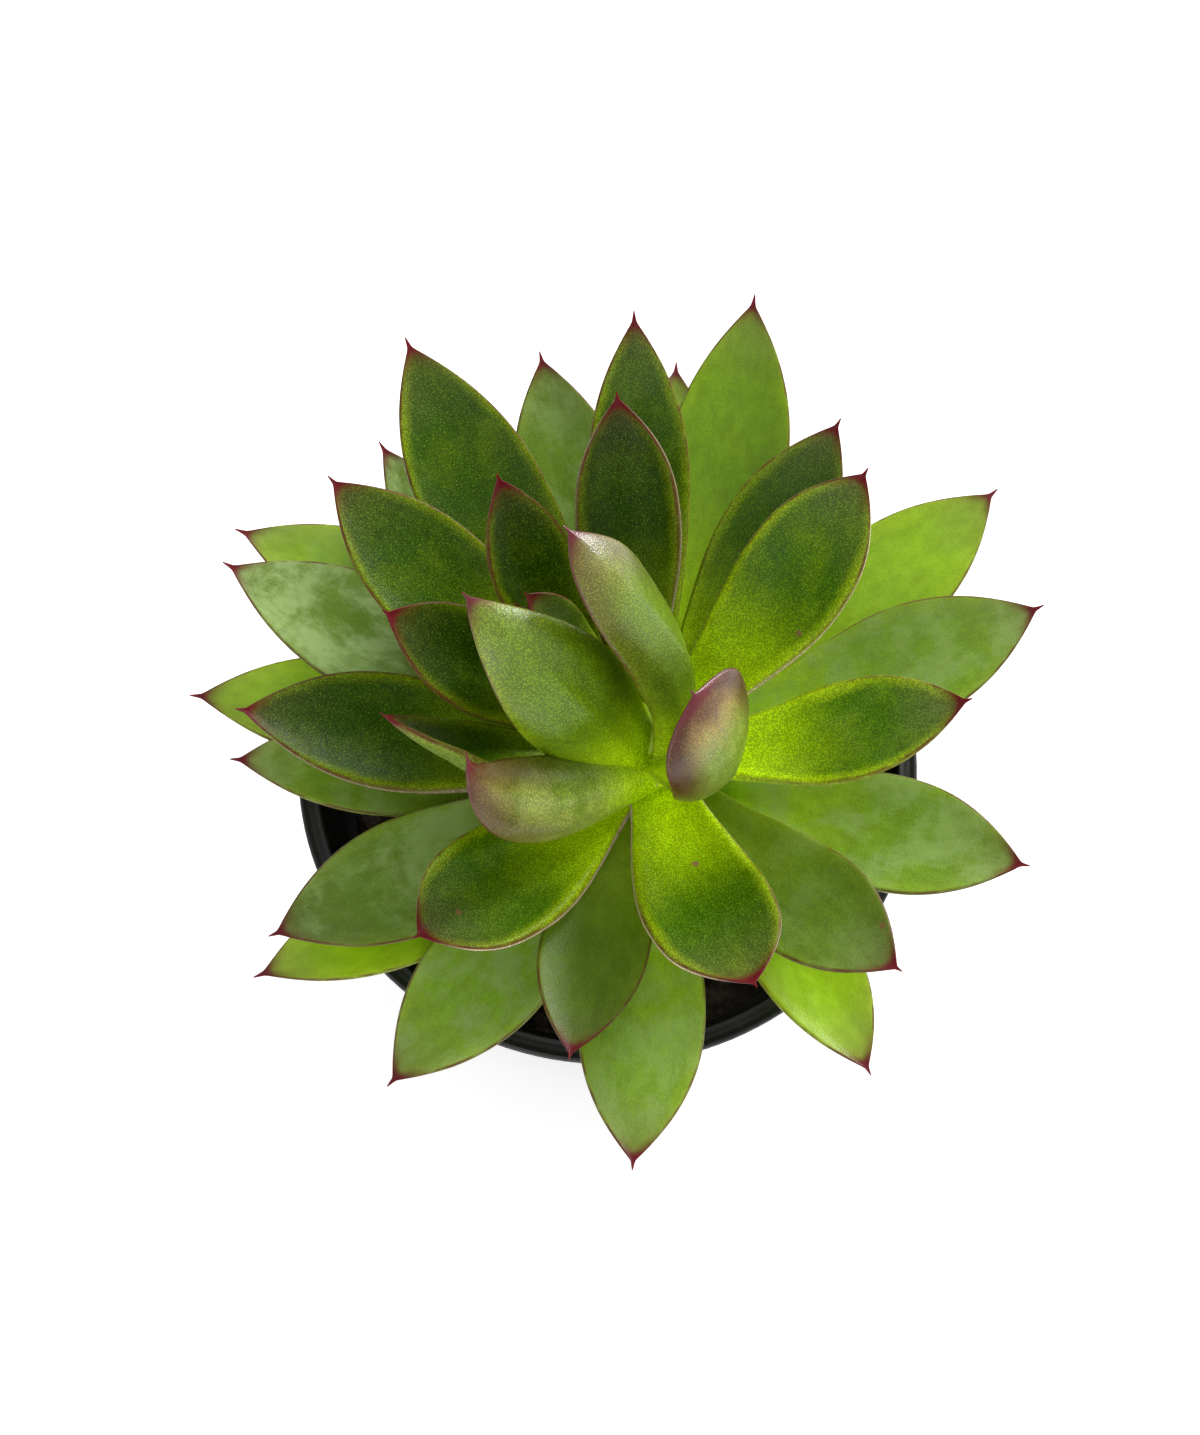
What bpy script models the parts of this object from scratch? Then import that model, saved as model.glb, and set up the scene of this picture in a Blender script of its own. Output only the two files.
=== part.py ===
"""A lipstick echeveria: a rosette of thick pointed leaves on a short stem, in a round nursery pot.

Metres, +Z up. The origin is the middle of the pot's underside. Sizes below are in millimetres,
and heights of the plant are measured from the pot's rim.
"""

import math

import bmesh
import bpy
import numpy as np
from mathutils.bvhtree import BVHTree

MM = 0.001
GAP = 0.35

# Pot: a thin tapered wall, a turned-down lip and a flat floor with a ring of drain holes.
RIM_HEIGHT = 78.0
RIM_RADIUS = 45.0
MOUTH_RADIUS = 42.0
LIP_DEPTH = 8.0
LIP_TAPER = 1.4  # how much narrower the lip is at its foot
LIP_WALL = 1.0
WALL = 1.3
WALL_TOP_RADIUS = 41.6
BASE_RADIUS = 32.0
FOOT_ROUND = 1.2
LIP_ROUND = 0.7
MOUTH_ROUND = 0.4
LIP_BEAD = 1.0  # height of the lip's lowest band, and of the step from the wall to the lip
LIP_SETBACK = 0.2  # how far in the lip's lower edge lies
THROAT_WALL = 0.8  # the wall between the mouth and the inside of the lip
LIP_CORNER = 0.4
POT_SIDES = 48
DRAIN_HOLES = 8
DRAIN_RADIUS = 3.5
DRAIN_CIRCLE = 24.0
DRAIN_SIDES = 12
CUT_PAST = 2.0  # how far a cutter runs past the face that it cuts

# Soil: fills the pot to a little below the rim.
SOIL_BELOW_RIM = 16.0
SOIL_DOME = 2.5
# Shares of the soil's radius, and of the dome's drop there
SOIL_SLOPE = ((1.0, 1.0), (0.8, 0.45), (0.5, 0.12))

# Stem: upright in the soil, then leaning to the upper left, where the bud is.
STEM_RADIUS = 3.8
STEM_FOOT = (7.5, -7.0, -38.0)
STEM_NECK = (7.5, -7.0, -16.0)
STEM_BEND = (9.0, -5.5, 6.0)
STEM_TOP = (3.2, -2.2, 17.5)
STEM_SIDES = 14
STEM_RINGS = 9
STEM_END = 0.7  # radius at the stem's top, as a share
ROOT_DISTANCE = 4.5  # from the stem's line to a leaf's root

# Leaf meshes: rings along the blade, and points across each face of a ring.
RINGS = 9
ACROSS = 4
RING_CROWDING = 1.25  # how much closer rings lie towards the tip
EDGE_THICKNESS = 0.7
EDGE_POWER = 0.75  # how fully the blade's underside swells between its margins
TIP_HALF_WIDTH = 0.35
BLADE_END = 0.985  # share of the length where the blade runs out into its point
ROOT_THICKNESS = 0.72  # as a share of the thickest
FAT_LENGTH = 0.7  # share of the length over which the blade swells and thins again
TIP_LENGTH = 0.55  # share of the length over which it thins towards the tip
TIP_POWER = 0.8
DEPTH_TO_HALF_WIDTH = 1.5
DEPTH_SPARE = 0.5
ROOT_CUP = 40.0
CUP_LENGTH = 0.5  # share of the length over which the root's cup changes to the blade's
ROLL_LENGTH = 0.7

# What a leaf has unless its line in the list says otherwise. Angles are in degrees.
COMMON = {
    "belly": 0.6,  # where along the blade it is widest
    "neck": 0.42,  # width at the root as a share of the widest
    "blunt": 2.2,  # how long the blade stays wide before the tip
    "thick": 4.5,
    "cup": 22.0,  # how far each margin turns up
    "bow": 0.0,  # sideways curve, positive to the left seen from the root
    "curl": 8.0,  # upward curve
    "roll": 0.0,
    "root_roll": 0.0,
    "start": None,  # azimuth and pitch at the root, where bow and curl don't give them
    "end": None,  # azimuth and pitch at the tip
    "face": None,  # azimuth that the blade's upper side looks away from
    "grip": (0.36, 0.36),
}


def leaf(side, root, tip, width, **shape):
    """A leaf from its place round the stem, its root's height, its tip and its width."""
    return {**COMMON, "side": side, "root": root, "tip": tip, "width": width, **shape}


# From the oldest and lowest to the youngest. Tips are x, y and height above the rim.
LEAVES = {
    # The pale lowest whorl, which spreads just above the rim
    "leaf_01": leaf(171, 0.0, (-59.0, 5.0, 10.0), 16.5, bow=-7, curl=-4),
    "leaf_02": leaf(-56, 0.0, (34.5, -48.0, 9.0), 14.0, bow=9, curl=-4),
    "leaf_03": leaf(-154, 0.5, (-47.5, -35.0, 9.0), 14.5, bow=5, curl=-4),
    "leaf_04": leaf(87, 0.0, (10.5, 59.5, 9.0), 15.0, curl=-4),
    "leaf_05": leaf(41, 1.0, (57.5, 37.5, 10.0), 17.5, curl=-3),
    "leaf_06": leaf(149, 3.0, (-54.0, 30.0, 12.0), 16.5, bow=-10, curl=-2),
    # The long outer leaves
    "leaf_07": leaf(-95, 3.0, (3.0, -60.5, 13.0), 17.0),
    "leaf_08": leaf(180, 4.5, (-52.0, -5.5, 13.0), 15.0, bow=-2),
    "leaf_09": leaf(105, 4.0, (-10.0, 56.5, 17.0), 17.5, bow=2),
    "leaf_10": leaf(-129, 4.5, (-28.5, -50.0, 13.0), 17.0),
    "leaf_11": leaf(-19, 4.0, (56.0, -21.5, 16.0), 17.0, bow=1),
    "leaf_12": leaf(78, 6.0, (21.5, 63.0, 22.0), 18.0, bow=-3),
    "leaf_13": leaf(157, 7.0, (-53.5, 21.0, 20.0), 17.5),
    "leaf_14": leaf(20, 6.5, (60.0, 14.5, 20.0), 17.5),
    "leaf_15": leaf(130, 8.0, (-33.0, 41.5, 17.0), 13.0, bow=7),
    "leaf_16": leaf(-153, 7.0, (-44.5, -31.0, 16.0), 17.0),
    "leaf_17": leaf(-46, 6.5, (37.5, -36.5, 20.0), 16.5, bow=-4),
    "leaf_18": leaf(-104, 8.0, (-5.0, -47.5, 19.0), 14.5, bow=-5),
    # The middle leaves, which rise more steeply
    "leaf_19": leaf(59, 9.0, (32.0, 38.5, 29.0), 15.5, bow=2),
    "leaf_20": leaf(93, 10.0, (3.5, 50.5, 37.0), 14.0),
    "leaf_21": leaf(178, 9.5, (-49.5, -2.0, 23.5), 16.5),
    "leaf_22": leaf(122, 11.0, (-28.0, 49.5, 32.0), 18.0, bow=6),
    "leaf_23": leaf(-136, 10.5, (-24.5, -33.5, 26.0), 16.5, bow=7, blunt=3.2),
    "leaf_24": leaf(-1, 11.0, (46.0, -4.5, 34.0), 14.0, bow=-6),
    "leaf_25": leaf(144, 14.5, (-37.0, 26.5, 35.0), 16.5, bow=5),
    "leaf_26": leaf(-71, 12.0, (18.0, -40.5, 30.0), 16.5, bow=-8, blunt=3.2, neck=0.5),
    "leaf_27": leaf(45, 12.5, (33.5, 25.0, 40.0), 15.5, bow=-6, blunt=2.6),
    "leaf_28": leaf(-175, 13.5, (-29.0, -6.0, 33.0), 11.0, bow=25, roll=45, cup=38, thick=4.0),
    "leaf_29": leaf(96, 14.5, (1.0, 31.5, 48.0), 14.0, bow=-3, cup=48, blunt=2.8, thick=4.0),
    "leaf_30": leaf(166, 16.0, (-28.5, 5.5, 39.0), 13.5, bow=3, thick=4.0),
    "leaf_31": leaf(127, 17.5, (-14.0, 21.0, 46.0), 12.0, bow=13, cup=35, thick=3.6),
    # Young leaves that arch over the bud and show their undersides
    "leaf_32": leaf(-90, 14.5, (-17.2, -15.0, 44.0), 11.0,
                    start=(211, 26), end=(102, 25), roll=150, root_roll=140, grip=(0.42, 0.23),
                    belly=0.47, neck=0.66, blunt=3.0, thick=4.0),
    "leaf_33": leaf(-52, 16.8, (9.5, -9.5, 50.0), 16.6,
                    start=(-34, 50), end=(137, 50), face=-32, grip=(0.41, 0.41),
                    belly=0.72, blunt=3.8, thick=4.0),
    "leaf_34": leaf(-60, 15.5, (-5.5, 10.7, 52.3), 13.2,
                    start=(77, 48), end=(136, 12), face=-10,
                    belly=0.64, neck=0.28, blunt=2.8, thick=4.0),
    "leaf_35": leaf(-105, 19.0, (-17.7, 3.7, 48.5), 15.5,
                    start=(150, 68), end=(131, -5), face=-45, grip=(0.3, 0.4),
                    belly=0.42, neck=0.88, thick=4.0),
    # The bud
    "leaf_36": leaf(110, 18.5, (-10.5, 7.0, 41.0), 8.0, curl=0, thick=2.6),
    "leaf_37": leaf(160, 18.0, (-12.0, 7.5, 36.5), 5.0, curl=0, thick=1.8),
}

# Faces that meet at more than this many degrees show a crisp edge.
POT_SHARP = 40.0
LEAF_SHARP = 60.0

# Colours: red, green, blue, then roughness.
POT_BLACK = (0.012, 0.012, 0.013, 0.42)
SOIL_BROWN = (0.035, 0.022, 0.014, 0.95)
STEM_GREEN = (0.22, 0.32, 0.06, 0.55)
PALE_GREEN = (0.24, 0.38, 0.05, 0.5)
OUTER_GREEN = (0.11, 0.22, 0.04, 0.5)
INNER_GREEN = (0.06, 0.17, 0.015, 0.45)
BACK_GREEN = (0.22, 0.27, 0.10, 0.45)
LAST_PALE = 6
LAST_OUTER = 18
LAST_INNER = 31


def clear_scene():
    for item in list(bpy.data.objects):
        bpy.data.objects.remove(item)


def principled(name, look):
    material = bpy.data.materials.new(name)
    material.use_nodes = True
    shader = material.node_tree.nodes["Principled BSDF"]
    shader.inputs["Base Color"].default_value = (*look[:3], 1.0)
    shader.inputs["Roughness"].default_value = look[3]
    shader.inputs["Metallic"].default_value = 0.0
    return material


def mesh_object(name, points, faces, material, sharp=POT_SHARP):
    """An object from points in millimetres."""
    mesh = bpy.data.meshes.new(name)
    mesh.from_pydata([tuple(p) for p in np.asarray(points) * MM], [], faces)
    mesh.materials.append(material)
    mesh.shade_smooth()
    mesh.set_sharp_from_angle(angle=math.radians(sharp))
    item = bpy.data.objects.new(name, mesh)
    bpy.context.collection.objects.link(item)
    return item


def turned(profile, sides):
    """Points and faces of a profile of (radius, height) turned round Z. Its ends lie on the axis."""
    points = [(0.0, 0.0, profile[0][1])]
    for radius, height in profile[1:-1]:
        for k in range(sides):
            turn = 2 * math.pi * k / sides
            points.append((radius * math.cos(turn), radius * math.sin(turn), height))
    points.append((0.0, 0.0, profile[-1][1]))
    rows = len(profile) - 2
    last = len(points) - 1
    faces = []
    for k in range(sides):
        after = (k + 1) % sides
        faces.append((0, 1 + after, 1 + k))
        for row in range(rows - 1):
            a = 1 + row * sides
            b = a + sides
            faces.append((a + k, a + after, b + after, b + k))
        top = 1 + (rows - 1) * sides
        faces.append((last, top + k, top + after))
    return points, faces


def rod(radius, bottom, top, sides, place):
    """Points and faces of an upright cylinder at a place (x, y)."""
    points, faces = turned(((0, bottom), (radius, bottom), (radius, top), (0, top)), sides)
    return [(x + place[0], y + place[1], z) for x, y, z in points], faces


def subtract(item, cutters):
    """Cuts each of the cutters from the item and removes them."""
    for cutter in cutters:
        cut = item.modifiers.new("cut", "BOOLEAN")
        cut.operation = "DIFFERENCE"
        cut.object = cutter
        bpy.context.view_layer.objects.active = item
        with bpy.context.temp_override(object=item, active_object=item):
            bpy.ops.object.modifier_apply(modifier=cut.name)
        bpy.data.objects.remove(cutter)


def drop_scraps(item):
    """Keeps only the largest of the loose pieces that a cut leaves."""
    work = bmesh.new()
    work.from_mesh(item.data)
    unseen = set(work.verts)
    groups = []
    while unseen:
        group = {unseen.pop()}
        front = list(group)
        while front:
            here = front.pop()
            near = {edge.other_vert(here) for edge in here.link_edges} & unseen
            unseen -= near
            group |= near
            front.extend(near)
        groups.append(group)
    groups.sort(key=len)
    for group in groups[:-1]:
        bmesh.ops.delete(work, geom=list(group), context="VERTS")
    work.to_mesh(item.data)
    work.free()


def inner_radius(height):
    """Radius of the pot's inner wall at a height above its underside."""
    share = height / (RIM_HEIGHT - LIP_DEPTH)
    return BASE_RADIUS + (WALL_TOP_RADIUS - BASE_RADIUS) * share - WALL


def make_pot(material):
    lip = RIM_HEIGHT - LIP_DEPTH
    lip_foot = RIM_RADIUS - LIP_TAPER
    profile = (
        (0.0, 0.0),
        (BASE_RADIUS - FOOT_ROUND, 0.0),
        (BASE_RADIUS, FOOT_ROUND),
        (WALL_TOP_RADIUS, lip - LIP_BEAD),
        (MOUTH_RADIUS + THROAT_WALL, RIM_HEIGHT - 2 * WALL),
        (RIM_RADIUS - LIP_WALL - LIP_CORNER, RIM_HEIGHT - 2 * WALL),
        (lip_foot - LIP_WALL, lip),
        (lip_foot - LIP_SETBACK, lip),
        (lip_foot, lip + LIP_BEAD),
        (RIM_RADIUS, RIM_HEIGHT - LIP_ROUND),
        (RIM_RADIUS - LIP_ROUND, RIM_HEIGHT),
        (MOUTH_RADIUS + MOUTH_ROUND, RIM_HEIGHT),
        (MOUTH_RADIUS, RIM_HEIGHT - MOUTH_ROUND),
        (inner_radius(lip - LIP_BEAD), lip - LIP_BEAD),
        (inner_radius(WALL), WALL),
        (0.0, WALL),
    )
    points, faces = turned(profile, POT_SIDES)
    pot = mesh_object("pot", points, faces, material)
    cutters = []
    for k in range(DRAIN_HOLES):
        turn = 2 * math.pi * (k + 0.5) / DRAIN_HOLES
        place = (DRAIN_CIRCLE * math.cos(turn), DRAIN_CIRCLE * math.sin(turn))
        points, faces = rod(DRAIN_RADIUS, -CUT_PAST, WALL + CUT_PAST, DRAIN_SIDES, place)
        cutters.append(mesh_object(f"drain_cutter_{k}", points, faces, material))
    subtract(pot, cutters)
    return pot


def make_soil(material):
    """The soil, with a plain hole that the stem stands in."""
    top = RIM_HEIGHT - SOIL_BELOW_RIM
    bottom = WALL + GAP
    outer = inner_radius(top) - GAP
    slope = [(outer * reach, top - SOIL_DOME * drop) for reach, drop in SOIL_SLOPE]
    profile = [(0.0, bottom), (inner_radius(bottom) - GAP, bottom), *slope, (0.0, top)]
    points, faces = turned(profile, POT_SIDES)
    soil = mesh_object("soil", points, faces, material)
    foot = RIM_HEIGHT + STEM_FOOT[2] - GAP
    points, faces = rod(STEM_RADIUS + GAP, foot, top + CUT_PAST, STEM_SIDES, STEM_FOOT)
    subtract(soil, [mesh_object("hole_cutter", points, faces, material)])
    return soil


def unit(vector):
    return vector / np.linalg.norm(vector, axis=-1, keepdims=True)


def heading(azimuth, pitch):
    """The unit direction of an azimuth and a pitch in degrees."""
    turn = math.radians(azimuth)
    rise = math.radians(pitch)
    level = math.cos(rise)
    return np.array([math.cos(turn) * level, math.sin(turn) * level, math.sin(rise)])


def stem_curve(t):
    """Points of the leaning part of the stem's line, t from 0 at the soil to 1 at the top."""
    t = np.atleast_1d(t)[:, None]
    neck, bend, top = (np.array(p) for p in (STEM_NECK, STEM_BEND, STEM_TOP))
    return (1 - t) ** 2 * neck + 2 * t * (1 - t) * bend + t * t * top


def stem_centre(height):
    """The point of the stem's line at a height above the rim. Above its top it runs on straight."""
    t = np.linspace(0.0, 1.0, 200)
    line = stem_curve(t)
    if height > line[-1, 2]:
        step = unit(line[-1] - line[-2])
        return line[-1] + step * (height - line[-1, 2]) / step[2]
    return np.array([np.interp(height, line[:, 2], line[:, k]) for k in range(3)])


def make_stem(material):
    t = np.linspace(0.0, 1.0, STEM_RINGS)
    line = np.vstack([STEM_FOOT, stem_curve(t)])
    tangents = unit(np.gradient(line, axis=0))
    tangents[0] = tangents[1] = (0.0, 0.0, 1.0)
    radii = [STEM_RADIUS] * (len(line) - 1) + [STEM_RADIUS * STEM_END]
    points = []
    for centre, tangent, radius in zip(line, tangents, radii):
        sideways = unit(np.cross((0.0, 1.0, 0.0), tangent))
        forward = np.cross(tangent, sideways)
        for k in range(STEM_SIDES):
            turn = 2 * math.pi * k / STEM_SIDES
            points.append(centre + radius * (math.cos(turn) * sideways + math.sin(turn) * forward))
    points = np.array(points) + (0.0, 0.0, RIM_HEIGHT)
    faces = [tuple(reversed(range(STEM_SIDES)))]
    for row in range(len(line) - 1):
        for k in range(STEM_SIDES):
            a = row * STEM_SIDES + k
            b = row * STEM_SIDES + (k + 1) % STEM_SIDES
            faces.append((a, b, b + STEM_SIDES, a + STEM_SIDES))
    last = (len(line) - 1) * STEM_SIDES
    faces.append(tuple(range(last, last + STEM_SIDES)))
    return mesh_object("stem", points, faces, material)


def leaf_ends(shape):
    """Root and tip of a leaf, above the rim."""
    root = stem_centre(shape["root"]) + ROOT_DISTANCE * heading(shape["side"], 0.0)
    return root, np.array(shape["tip"])


def leaf_spine(shape, share):
    """Points and directions of a leaf's middle line, and each one's part of its length."""
    root, tip = leaf_ends(shape)
    run = tip - root
    length = np.linalg.norm(run)
    azimuth = math.degrees(math.atan2(run[1], run[0]))
    pitch = math.degrees(math.atan2(run[2], math.hypot(run[0], run[1])))
    start = shape["start"] or (azimuth + shape["bow"], pitch - shape["curl"])
    end = shape["end"] or (azimuth - shape["bow"], pitch + shape["curl"])
    near = root + heading(*start) * length * shape["grip"][0]
    far = tip - heading(*end) * length * shape["grip"][1]

    def at(t):
        t = t[:, None]
        return ((1 - t) ** 3 * root + 3 * t * (1 - t) ** 2 * near
                + 3 * t * t * (1 - t) * far + t ** 3 * tip)

    fine = np.linspace(0.0, 1.0, 201)
    steps = np.linalg.norm(np.diff(at(fine), axis=0), axis=1)
    travelled = np.concatenate([[0.0], np.cumsum(steps)])
    nudge = 1e-4
    tangents = unit(at(np.minimum(share + nudge, 1.0)) - at(np.maximum(share - nudge, 0.0)))
    part = np.interp(share, fine, travelled) / travelled[-1]
    return at(share), tangents, part, azimuth


def half_widths(shape, part):
    """Half the width along the blade: it swells from the neck to the belly and comes to a point."""
    belly = shape["belly"]
    rise = np.clip(part / belly, 0.0, 1.0)
    swelling = shape["neck"] + (1 - shape["neck"]) * rise * rise * (3 - 2 * rise)
    fall = np.clip((part - belly) / (BLADE_END - belly), 0.0, 1.0)
    tapering = 1 - fall ** shape["blunt"]
    blade = shape["width"] / 2 * np.where(part < belly, swelling, tapering)
    return np.maximum(blade, TIP_HALF_WIDTH)


def thicknesses(shape, part):
    swell = np.sin(np.pi * np.clip(part / FAT_LENGTH, 0.0, 1.0))
    fat = ROOT_THICKNESS + (1 - ROOT_THICKNESS) * swell
    fall = np.clip((1 - part) / TIP_LENGTH, 0.0, 1.0) ** TIP_POWER
    return np.maximum(shape["thick"] * fat * fall, EDGE_THICKNESS)


def leaf_mesh(shape, swell=0.0):
    """Points and triangles of a leaf, its skin moved out by swell."""
    share = 1 - (1 - np.linspace(0.0, 1.0, RINGS + 1)) ** RING_CROWDING
    spine, tangents, part, azimuth = leaf_spine(shape, share)
    spine[0] -= tangents[0] * swell
    spine[-1] += tangents[-1] * swell
    face = math.radians(azimuth if shape["face"] is None else shape["face"])
    level = np.array([-math.sin(face), math.cos(face), 0.0])
    across = unit(level - (tangents @ level)[:, None] * tangents)
    up = np.cross(tangents, across)
    turn = shape["root_roll"] + (shape["roll"] - shape["root_roll"]) * np.clip(part / ROLL_LENGTH, 0, 1)
    turn = np.radians(turn)[:, None]
    across, up = across * np.cos(turn) + up * np.sin(turn), up * np.cos(turn) - across * np.sin(turn)
    half = half_widths(shape, part)
    depth = np.minimum(thicknesses(shape, part), DEPTH_TO_HALF_WIDTH * half + DEPTH_SPARE)
    cup = np.radians(ROOT_CUP + (shape["cup"] - ROOT_CUP) * np.clip(part / CUP_LENGTH, 0.0, 1.0))
    lanes = np.sin(np.linspace(-1.0, 1.0, ACROSS + 1) * np.pi / 2)
    points = []
    for k in range(RINGS + 1):
        bend = cup[k] * lanes
        radius = (half[k] + swell) / cup[k]
        side = radius * np.sin(bend)
        rise = radius * (1 - np.cos(bend))
        edge = min(EDGE_THICKNESS, depth[k])
        body = edge + (depth[k] - edge) * (1 - lanes ** 2) ** EDGE_POWER
        upper = (side - swell * np.sin(bend), rise + swell * np.cos(bend))
        lower = (side + (body + swell) * np.sin(bend), rise - (body + swell) * np.cos(bend))
        for x, y in (upper, (lower[0][::-1], lower[1][::-1])):
            points.extend(spine[k] + x[:, None] * across[k] + y[:, None] * up[k])
    points = np.array(points) + (0.0, 0.0, RIM_HEIGHT)
    loop = 2 * (ACROSS + 1)
    faces = []
    for k in range(RINGS):
        for j in range(loop):
            a = k * loop + j
            b = k * loop + (j + 1) % loop
            faces.extend([(a, b + loop, b), (a, a + loop, b + loop)])
    faces.extend(cap(0, loop))
    faces.extend(tuple(reversed(face)) for face in cap(RINGS * loop, loop))
    return points, faces


def cap(first, loop):
    """Triangles that close a ring, as a strip between its upper and lower rows."""
    faces = []
    for j in range(loop // 2 - 1):
        a = first + j
        b = first + loop - 1 - j
        faces.extend([(a, a + 1, b), (a + 1, b - 1, b)])
    return faces


def tree_of(item):
    mesh = item.data
    mesh.calc_loop_triangles()
    points = [vertex.co for vertex in mesh.vertices]
    return BVHTree.FromPolygons(points, [tuple(t.vertices) for t in mesh.loop_triangles])


def press_clear(item, younger, material):
    """Presses the item clear of each younger leaf that would cross it or touch it."""
    hits = []
    for name in younger:
        points, faces = leaf_mesh(LEAVES[name], GAP)
        cutter = mesh_object("cutter_" + name, points, faces, material)
        if tree_of(item).overlap(tree_of(cutter)):
            hits.append(cutter)
        else:
            bpy.data.objects.remove(cutter)
    subtract(item, hits)
    if hits:
        drop_scraps(item)


def make_leaves(materials):
    made = {}
    for number, (name, shape) in enumerate(LEAVES.items(), start=1):
        points, faces = leaf_mesh(shape)
        if number <= LAST_PALE:
            material = materials["pale"]
        elif number <= LAST_OUTER:
            material = materials["outer"]
        elif number <= LAST_INNER:
            material = materials["inner"]
        else:
            material = materials["back"]
        made[name] = mesh_object(name, points, faces, material, LEAF_SHARP)
    return made


def main():
    clear_scene()
    materials = {
        "pot": principled("pot_plastic", POT_BLACK),
        "soil": principled("potting_soil", SOIL_BROWN),
        "stem": principled("stem_skin", STEM_GREEN),
        "pale": principled("leaf_pale", PALE_GREEN),
        "outer": principled("leaf_outer", OUTER_GREEN),
        "inner": principled("leaf_inner", INNER_GREEN),
        "back": principled("leaf_back", BACK_GREEN),
    }
    make_pot(materials["pot"])
    make_soil(materials["soil"])
    stem = make_stem(materials["stem"])
    leaves = make_leaves(materials)
    names = list(LEAVES)
    for number, name in enumerate(names, start=1):
        press_clear(leaves[name], names[number:], materials["outer"])
    press_clear(stem, names, materials["stem"])


main()
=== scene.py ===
"""Looks of a lipstick echeveria in its nursery pot.

Metres, +Z up, in the frame of the solids. Sizes below are in millimetres, and heights of the plant
are measured from the pot's rim, as in the part's own source.
"""

import math

import bmesh
import bpy
import numpy as np
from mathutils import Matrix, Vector
from mathutils import noise as value_noise


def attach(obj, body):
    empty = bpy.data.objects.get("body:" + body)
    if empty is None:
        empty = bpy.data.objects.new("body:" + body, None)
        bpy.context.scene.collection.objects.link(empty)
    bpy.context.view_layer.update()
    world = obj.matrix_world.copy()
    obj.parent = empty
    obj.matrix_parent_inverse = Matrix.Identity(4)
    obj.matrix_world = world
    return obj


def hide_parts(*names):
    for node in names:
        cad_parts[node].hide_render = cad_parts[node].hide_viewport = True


MM = 0.001

# The pot, with the same driving sizes as its solid
RIM_HEIGHT = 78.0
RIM_RADIUS = 45.0
MOUTH_RADIUS = 42.0
LIP_DEPTH = 8.0
LIP_TAPER = 1.4
LIP_WALL = 1.0
WALL = 1.3
THROAT_WALL = 0.8
WALL_TOP_RADIUS = 41.6
BASE_RADIUS = 32.0
WALL_RINGS = 14
WALL_START = 4.0  # height of the lowest of the wall's rings
POT_SIDES = 144
POT_SHARP = 35.0  # faces that meet at more than this many degrees show a crisp edge
TURNED_RINGS = 0.9  # distance between the faint rings on the rim's flat top
TURNED_ROWS = 0.7  # distance between those on the upright faces
DRAIN_HOLES = 8
DRAIN_RADIUS = 3.5
DRAIN_CIRCLE = 24.0
DRAIN_SIDES = 32
CUT_PAST = 2.0  # how far a cutter runs past the face that it cuts

# The soil and the loose pieces on it
SOIL_BELOW_RIM = 16.0
SOIL_DOME = 2.5
SOIL_DOME_POWER = 2.2
SOIL_GAP = 0.35
SOIL_SPARE = 0.15  # how far the soil's top stays inside its solid
SOIL_SPARE_BELOW = 0.1
SOIL_SHOULDER = 2.0  # height of the upright part of its edge
SOIL_SIDES = 180
SOIL_CIRCLES = 70
SOIL_SHARP = 60.0
LUMPS_PER_MM = 0.30
LUMP_HEIGHT = 1.1
LUMP_SUNK = 0.4
CHIP_MARGIN = 2.5  # how far loose pieces keep from the soil's edge
CHIP_RISE = 0.35  # how high a piece's middle lies, as a share of its height
CHIP_WIDTH = 0.8  # as a share of its radius, and the least that its length may be
CHIP_STRETCH = 0.8  # how much longer a piece may be
CHIP_LEAN = 0.35
CHIP_TILT = 0.5
CHIP_JOLT = 0.22  # how uneven its corners are
CHIP_SHARP = 30.0
# How many pieces there are, their smallest and largest radius, and their height as a share of it
BARK_CHIPS = (260, 0.9, 2.6, 0.45)
GRAINS = (60, 0.5, 1.3, 0.85)
DRAW_SEED = 5

# The stem, with the same line as its solid
STEM_RADIUS = 3.8
STEM_FOOT = (7.5, -7.0, -38.0)
STEM_NECK = (7.5, -7.0, -16.0)
STEM_BEND = (9.0, -5.5, 6.0)
STEM_TOP = (3.2, -2.2, 17.5)
STEM_SIDES = 40
STEM_RINGS = 70
STEM_SHARP = 50.0
CROWN_RADIUS = 5.0  # the stem's radius where the young leaves grow
CROWN_HEIGHT = 9.0
TOP_RINGS = 4  # the last rings, which close the top
TOP_TAPER = 0.09
BETWEEN_RIDGES = 0.97  # share of the radius between the ridges
RIDGE_HEIGHT = 0.05
RIDGE_TURN = 1.3  # how fast the ridges wind up the stem
RIDGES = 3
ROOT_DISTANCE = 4.5  # from the stem's line to a leaf's root

# The camera. The focal length is in pixels of the photograph.
FOCAL_PIXELS = 1776.0
PICTURE_HEIGHT = 1435.0
SENSOR = 36.0
CAMERA_TARGET = (-1.1, 5.3, 78.0)
CAMERA_DISTANCE = 260.0
CAMERA_ELEVATION = 70.0

# The floor, in millimetres, and the lights, in metres and watts
FLOOR_REACH = 3000.0
LIGHT_AIM = (0.0, 0.0, 0.08)
KEY_PLACE = (0.72, 0.80, 0.56)
KEY_SIZE = 0.5
KEY_POWER = 19.0
FILL_PLACE = (-0.3, -1.0, 0.9)
FILL_SIZE = 1.2
FILL_POWER = 7.0
SKY_STRENGTH = 0.9

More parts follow.
